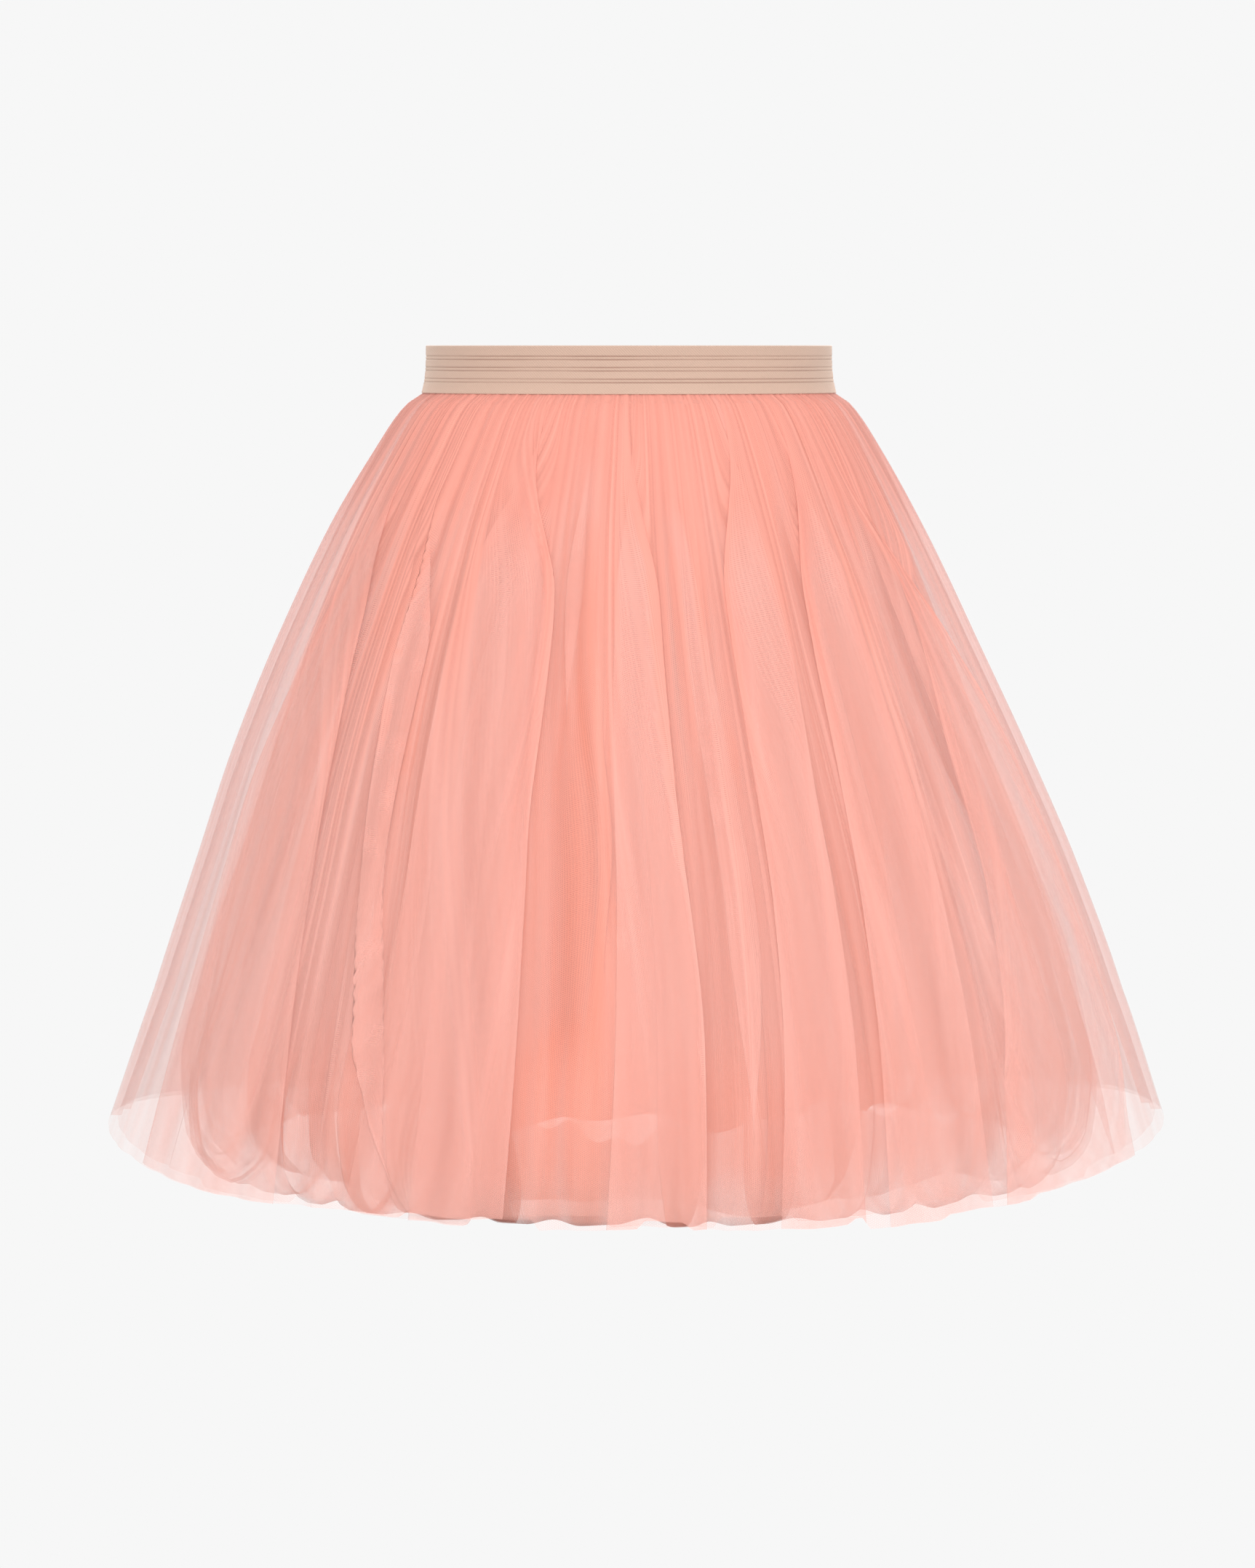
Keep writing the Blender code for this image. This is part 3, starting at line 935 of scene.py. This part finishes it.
def blend(tree, factor, first, second):
    """A colour between two others, each three numbers or another node's colour."""
    node = tree.nodes.new("ShaderNodeMix")
    node.data_type = "RGBA"
    plug(tree, node.inputs["Factor"], factor)
    for socket, colour in ((node.inputs["A"], first), (node.inputs["B"], second)):
        plug(tree, socket, (*colour, 1.0) if isinstance(colour, tuple) else colour)
    return node.outputs["Result"]


def put_group(tree, group, **values):
    """Place a shader group with its values."""
    node = tree.nodes.new("ShaderNodeGroup")
    node.node_tree = group
    for name, value in values.items():
        plug(tree, node.inputs[name], value)
    return node


GATHERS_PER_METRE = 55.0
GATHER_RANGE = (0.34, 0.66)


def tulle(name, light, deep, deepens, cover, uneven):
    """A coral net: its two shades, how packing deepens them, and how much one layer covers."""
    made, tree, shader, cloth = new_finish(name)
    packed = point_value(tree, "packed")
    gather = put_group(tree, streak_group, cloth=cloth, across=GATHERS_PER_METRE, down=1.1)
    cover_range = cover * (1.0 - uneven), cover * (1.0 + uneven)
    covering = remap(tree, gather.outputs["streak"], *GATHER_RANGE, *cover_range)
    net = put_group(tree, net_group, cloth=cloth, cover=covering, packed=packed)
    streaks = put_group(tree, streak_group, cloth=cloth)
    soft_streak = math_node(tree, "MULTIPLY_ADD", streaks.outputs["streak"], 0.5, 0.25)
    depth = math_node(tree, "ADD", soft_streak, remap(tree, packed, *deepens))
    plug(tree, shader.inputs["Base Color"], blend(tree, depth, light, deep))
    plug(tree, shader.inputs["Alpha"], net.outputs["cover"])
    shader.inputs["Roughness"].default_value = 0.8
    shader.inputs["Specular IOR Level"].default_value = 0.2
    shader.inputs["Sheen Weight"].default_value = 0.05
    shader.inputs["Sheen Roughness"].default_value = 0.5
    return made


outer_finish = tulle(
    "outer tulle net", light=(0.90, 0.550, 0.485), deep=(0.86, 0.375, 0.300),
    deepens=(1.7, 3.1, 0.0, 0.7), cover=0.21, uneven=0.36,
)
puff_finish = tulle(
    "puffed tulle net", light=(0.90, 0.560, 0.500), deep=(0.96, 0.280, 0.155),
    deepens=(0.7, 1.6, -0.45, 0.25), cover=0.36, uneven=0.34,
)
print("tulle finishes:", outer_finish.name, "and", puff_finish.name)

# %% [markdown]
# ## The outer tulle
#
# The top layer is two plies of net gathered together. The first carries the long creases of
# the photograph. The second lies just inside it with creases of its own, and its hem is a
# little shorter, so the edge of the skirt steps from two plies to one.
#
# Two things here are chosen and not measured. The shares that thin or thicken the net at the
# sides, the hem and the channels were set until the colours came close to the photograph's.
# The flat panels are taken as flared, narrower at the waist than at the hem, but the
# photograph doesn't show how they are cut. As a plain rectangle, the front of the outer net
# would count more cloth than its small gathers are modelled deep enough to hold.

# %% Hang the outer tulle
ROOT = "root"
FLARED_CUT = dict(outer=0.85, puff=0.90, slip=0.95)
PLAIN = dict(
    inside=0.0, side_calm=0.0, crumple=0.0, hem_lift=0.0, thin_sides=0.0, full_hem=0.0,
    thin_hem=0.0, thin_bend=0.0, open_channels=0.0, close_channels=0.0,
    drops=dict(front=(), back=()), channels=dict(front=(), back=()),
    pleats=dict(front=(), back=()),
)
BACK_CHANNELS = (
    dict(path=((0.02, .380), (0.30, .366), (0.60, .350), (1.0, .356)), width=0.020, depth=2.6),
    dict(path=((0.02, .560), (0.35, .578), (0.70, .574), (1.0, .560)), width=0.012, depth=1.8),
    dict(path=((0.02, .700), (0.40, .742), (0.70, .748), (1.0, .738)), width=0.014, depth=2.0),
    dict(path=((0.02, .230), (0.40, .202), (0.70, .188), (1.0, .196)), width=0.012, depth=1.6),
)
OUTER = dict(
    PLAIN, cut=FLARED_CUT["outer"], sections=OUTER_SECTIONS, folds=24, phase=0.7, rows=64,
    columns=1100, crowding=0.25, fold_share=0.30, side_calm=0.9, thin_sides=0.15, thin_hem=0.10,
    open_channels=0.50, close_channels=1.0, pucker=0.9, puckers=64, pucker_fade=0.08, hem="cut",
    drops=dict(front=FRONT_HEM_DROPS, back=BACK_HEM_DROPS),
    channels=dict(front=FRONT_CHANNELS, back=BACK_CHANNELS),
    pleats=dict(front=FRONT_PLEATS, back=scattered_pleats(18, 0.37, 0.012, 0.11, 6.0)),
)
UNDERPLY_HEM_DROPS = (
    dict(start=-52.0, end=-38.0, drop=4.0),
    dict(start=-30.0, end=-17.0, drop=6.0),
    dict(start=-3.0, end=8.0, drop=7.0),
    dict(start=16.0, end=29.0, drop=3.0),
    dict(start=38.0, end=55.0, drop=5.0),
)
UNDERPLY = dict(
    OUTER, phase=1.6, columns=620, rows=48, inside=6.0, hem_lift=4.0, puckers=52,
    drops=dict(front=UNDERPLY_HEM_DROPS, back=UNDERPLY_HEM_DROPS),
    channels=dict(front=FRONT_CHANNELS[:1], back=BACK_CHANNELS[:1]),
    pleats=dict(
        front=scattered_pleats(12, 0.11, 0.015, 0.09, 5.0),
        back=scattered_pleats(12, 0.71, 0.015, 0.09, 5.0),
    ),
)


THIN_TOWARDS_SIDES = dict(left=3.2, right=4.6)
ABOVE_HEM = (370.0, 450.0)
ROUND_THE_BEND = (458.0, 492.0)
CUT_EDGE = (0.88, 1.0)


def fullness(points, down, opened, layer):
    """The chosen share of net: less at the sides, in channels and at edges, more above a hem."""
    turn = np.arctan2(points[:, :, 1] / HEM_HALF_DEPTH, points[:, :, 0] / HEM_HALF_WIDTH)
    below = -points[:, :, 2] / MM
    sharpness = np.where(
        np.cos(turn) < 0.0, THIN_TOWARDS_SIDES["left"], THIN_TOWARDS_SIDES["right"],
    )
    at_sides = 1.0 - layer["thin_sides"] * np.abs(np.cos(turn)) ** sharpness
    near_hem = soft_step(below, *ABOVE_HEM)
    above_hem = 1.0 + layer["full_hem"] * near_hem * (0.2 + 0.8 * np.sin(turn) ** 2)
    at_hem = 1.0 - layer["thin_hem"] * soft_step(down, *CUT_EDGE)
    at_bend = 1.0 - layer["thin_bend"] * soft_step(below, *ROUND_THE_BEND)
    closed = 1.0 - layer["close_channels"] * near_hem
    in_channels = 1.0 - layer["open_channels"] * opened * closed
    return at_sides * above_hem * at_hem * at_bend * in_channels


def hang(name, side, layer, finish, tightest=3.0):
    """Make one panel and let it ride on the part."""
    points, down, opened = panel_points(side, layer)
    points = add_seam_allowance(points)
    share = fullness(points, with_seams(down), with_seams(opened), layer)
    packed = packing(points, tightest) * share
    piece, width, length = cloth_object(name, points, packed, finish)
    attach(piece, ROOT)
    print(name, "cut", round(width, 3), "by", round(length, 3), "m")
    return piece


for side in ("front", "back"):
    top = hang("outer_net_" + side, side, OUTER, outer_finish)
    under = hang("outer_underply_" + side, side, UNDERPLY, outer_finish)
    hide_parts("outer_tulle_" + side)

# %% [markdown]
# ## The puffed tulle
#
# The middle layer is softer and deeper in colour. It is turned under at the hem and runs back
# up inside, where its raw edge is left unhemmed and crumples. A second ply fills it, as such a
# layer needs body to stay round.

# %% Hang the puffed tulle
PUFF_CHANNELS = dict(
    front=(
        dict(path=((0.02, .450), (0.25, .462), (0.50, .458), (1.0, .446)), width=0.028, depth=2.4),
    ),
    back=(
        dict(path=((0.02, .380), (0.30, .366), (0.60, .350), (1.0, .356)), width=0.024, depth=2.2),
    ),
)
PUFF = dict(
    PLAIN, cut=FLARED_CUT["puff"], sections=PUFF_SECTIONS, folds=18, phase=2.0, rows=84,
    columns=620, crowding=0.15, fold_share=0.48, side_calm=0.5, crumple=3.4,
    channels=PUFF_CHANNELS, thin_sides=0.48, full_hem=0.75, thin_bend=0.32,
    open_channels=-0.50, pucker=1.4, puckers=46, pucker_fade=0.12, hem="turned under",
    pleats=dict(
        front=scattered_pleats(12, 0.53, 0.02, 0.10, 6.0),
        back=scattered_pleats(12, 0.93, 0.02, 0.10, 6.0),
    ),
)
PUFF_FILLING = dict(
    PUFF, thin_sides=0.55, sections=PUFF_SECTIONS[:11], phase=3.3, columns=440, rows=60,
    inside=13.0, hem="sewn", hem_lift=5.0,
    pleats=dict(
        front=scattered_pleats(10, 0.23, 0.02, 0.09, 5.0),
        back=scattered_pleats(10, 0.43, 0.02, 0.09, 5.0),
    ),
)
for side in ("front", "back"):
    top = hang("puff_net_" + side, side, PUFF, puff_finish)
    filling = hang("puff_filling_" + side, side, PUFF_FILLING, puff_finish)
    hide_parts("puff_tulle_" + side)

# %% [markdown]
# ## The slip
#
# The slip is an opaque lining cloth in a strong coral. It is the reason why the middle of the
# skirt glows while its sides stay pale. Its weave is a plain over-and-under one, far finer
# than the net, so two crossing waves are enough to raise it.

# %% Make the slip's cloth
THREADS_PER_METRE = 3200.0

weave_group, weave_in, weave_out = shader_group(
    "plain weave",
    (("cloth", "NodeSocketVector", None), ("threads", "NodeSocketFloat", THREADS_PER_METRE)),
    (("height", "NodeSocketFloat"),),
)
split = weave_group.nodes.new("ShaderNodeSeparateXYZ")
plug(weave_group, split.inputs[0], weave_in.outputs["cloth"])
turned = []
for axis in ("X", "Y"):
    counted = math_node(weave_group, "MULTIPLY", split.outputs[axis], weave_in.outputs["threads"])
    turned.append(
        math_node(weave_group, "SINE", math_node(weave_group, "MULTIPLY", counted, math.pi))
    )
over = math_node(weave_group, "MULTIPLY", turned[0], turned[1])
plug(weave_group, weave_out.inputs["height"], over)


def raise_weave(tree, shader, cloth, threads, strength, distance):
    """Let the surface rise and fall with a plain weave, distance in metres."""
    weave = put_group(tree, weave_group, cloth=cloth, threads=threads)
    bump = tree.nodes.new("ShaderNodeBump")
    bump.inputs["Strength"].default_value = strength
    bump.inputs["Distance"].default_value = distance
    plug(tree, bump.inputs["Height"], weave.outputs["height"])
    plug(tree, shader.inputs["Normal"], bump.outputs["Normal"])


slip_finish, tree, shader, cloth = new_finish("coral lining")
streaks = put_group(tree, streak_group, cloth=cloth, across=60.0, down=3.0)
shade = blend(tree, streaks.outputs["streak"], (0.98, 0.30, 0.16), (0.96, 0.24, 0.12))
plug(tree, shader.inputs["Base Color"], shade)
raise_weave(tree, shader, cloth, THREADS_PER_METRE, strength=0.2, distance=0.0002)
shader.inputs["Roughness"].default_value = 0.6
shader.inputs["Sheen Weight"].default_value = 0.2
print("slip:", round(1000.0 / THREADS_PER_METRE, 2), "mm between threads")

# %% [markdown]
# ## Hang the slip
#
# The slip follows the body closely and ends above the turned-under hem of the puffed layer.

# %% Hang the slip
SLIP = dict(
    PLAIN, cut=FLARED_CUT["slip"], sections=SLIP_SECTIONS, folds=9, phase=3.1, rows=40,
    columns=260, crowding=0.15, fold_share=0.8, pucker=0.4, puckers=20, pucker_fade=0.10,
    hem="sewn",
)
for side in ("front", "back"):
    panel = hang("slip_cloth_" + side, side, SLIP, slip_finish, tightest=1.0)
    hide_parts("slip_" + side)

# %% [markdown]
# ## The elastic
#
# The waistband is a flat elastic 30 mm wide, with three pairs of thin darker lines woven in.
# Its cross-section is carried round the oval of the waist. The fine ribs of the elastic run
# up and down, as they do on every woven elastic, and come from a wave in the shader.

# %% Make the elastic's finish
LINE_HEIGHTS = (7.2, 0.3, -6.8)
LINE_SPACING = 2.1
LINE_WIDTH = 0.95
LINE_DEPTH = 0.35
RIBS_PER_METRE = 1150.0

elastic_finish, tree, shader, cloth = new_finish("striped elastic")
streaks = put_group(tree, streak_group, cloth=cloth, across=30.0, down=120.0)
ground = blend(tree, streaks.outputs["streak"], (0.496, 0.338, 0.262), (0.468, 0.317, 0.245))
wear = put_group(tree, streak_group, cloth=cloth, across=16.0, down=60.0)
fading = remap(tree, wear.outputs["streak"], 0.38, 0.62, 0.45, 1.0)
line_mark = math_node(tree, "MULTIPLY", point_value(tree, "line"), fading)
plug(tree, shader.inputs["Base Color"], blend(tree, line_mark, ground, (0.30, 0.17, 0.125)))
raise_weave(tree, shader, cloth, RIBS_PER_METRE, strength=0.35, distance=0.0003)
shader.inputs["Roughness"].default_value = 0.8
shader.inputs["Sheen Weight"].default_value = 0.8
shader.inputs["Sheen Tint"].default_value = (1.0, 0.84, 0.72, 1.0)
shader.inputs["Sheen Roughness"].default_value = 0.5
print("elastic:", len(LINE_HEIGHTS), "pairs of lines,", LINE_SPACING, "mm apart")

# %% [markdown]
# ## Close the elastic into a ring
#
# The grooves of the lines are shaped, so that they also show in the band's outline, and each
# point of the outside keeps how much of a line it is. That mark is what colours the lines.

# %% Weave the band
BAND_HEIGHT = 30.0
BAND_WALL = 2.0
BAND_ROUNDING = 0.7
BAND_FLARE = 3.0
BAND_FLARE_POWER = 3.0
BAND_COLUMNS = 300
BAND_ROWS = 112
CORNER_STEPS = 5
LINE_SOFTNESS = 0.42


def band_outline():
    """The band's cross-section: how far in from its outside, how high, and how much a line."""
    top = BAND_HEIGHT / 2.0
    turns = [0.5 * math.pi * i / CORNER_STEPS for i in range(CORNER_STEPS + 1)]
    steep = [BAND_ROUNDING * (1.0 - math.sin(turn)) for turn in turns]
    level = [BAND_ROUNDING * (1.0 - math.cos(turn)) for turn in turns]
    outline = [(s, top - l, 0.0) for s, l in zip(steep[:-1], level[:-1])]
    for i in range(BAND_ROWS + 1):
        height = (top - BAND_ROUNDING) * (1.0 - 2.0 * i / BAND_ROWS)
        line = 0.0
        for middle in LINE_HEIGHTS:
            for groove in (middle - LINE_SPACING / 2.0, middle + LINE_SPACING / 2.0):
                beside = (height - groove) / (LINE_SOFTNESS * LINE_WIDTH)
                line = max(line, math.exp(-beside ** 2))
        outline.append((LINE_DEPTH * line, height, line))
    outline += [(l, -top + s, 0.0) for s, l in zip(steep[1:], level[1:])]
    outline += [(BAND_WALL - s, -top + l, 0.0) for s, l in zip(steep, level)]
    outline += [(BAND_WALL - l, top - s, 0.0) for s, l in zip(steep[1:], level[1:])]
    return np.array(outline)


outline = band_outline()
outline = np.concatenate((outline, outline[:1]))
angle = np.linspace(0.0, math.tau, BAND_COLUMNS + 1)[None, :]
share = (BAND_HEIGHT / 2.0 - outline[:, 1:2]) / BAND_HEIGHT
half_width = WAIST_HALF_WIDTH + BAND_FLARE * share ** BAND_FLARE_POWER
x, y = on_oval(half_width, angle, outline[:, 0:1])
points = np.stack((x, y, outline[:, 1:2] + 0.0 * x), axis=2) * MM
ones = np.ones(points.shape[:2])
band, around, _ = cloth_object("elastic_band", points, ones, elastic_finish)
mark = band.data.attributes.new("line", "FLOAT", "POINT")
mark.data.foreach_set("value", np.repeat(outline[:, 2], BAND_COLUMNS + 1).astype(np.float32))
bm = bmesh.new()
bm.from_mesh(band.data)
bmesh.ops.remove_doubles(bm, verts=bm.verts, dist=0.000002)
bm.to_mesh(band.data)
bm.free()
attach(band, ROOT)
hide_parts("waistband")
print("band:", round(around, 3), "m round, faces", len(band.data.polygons))
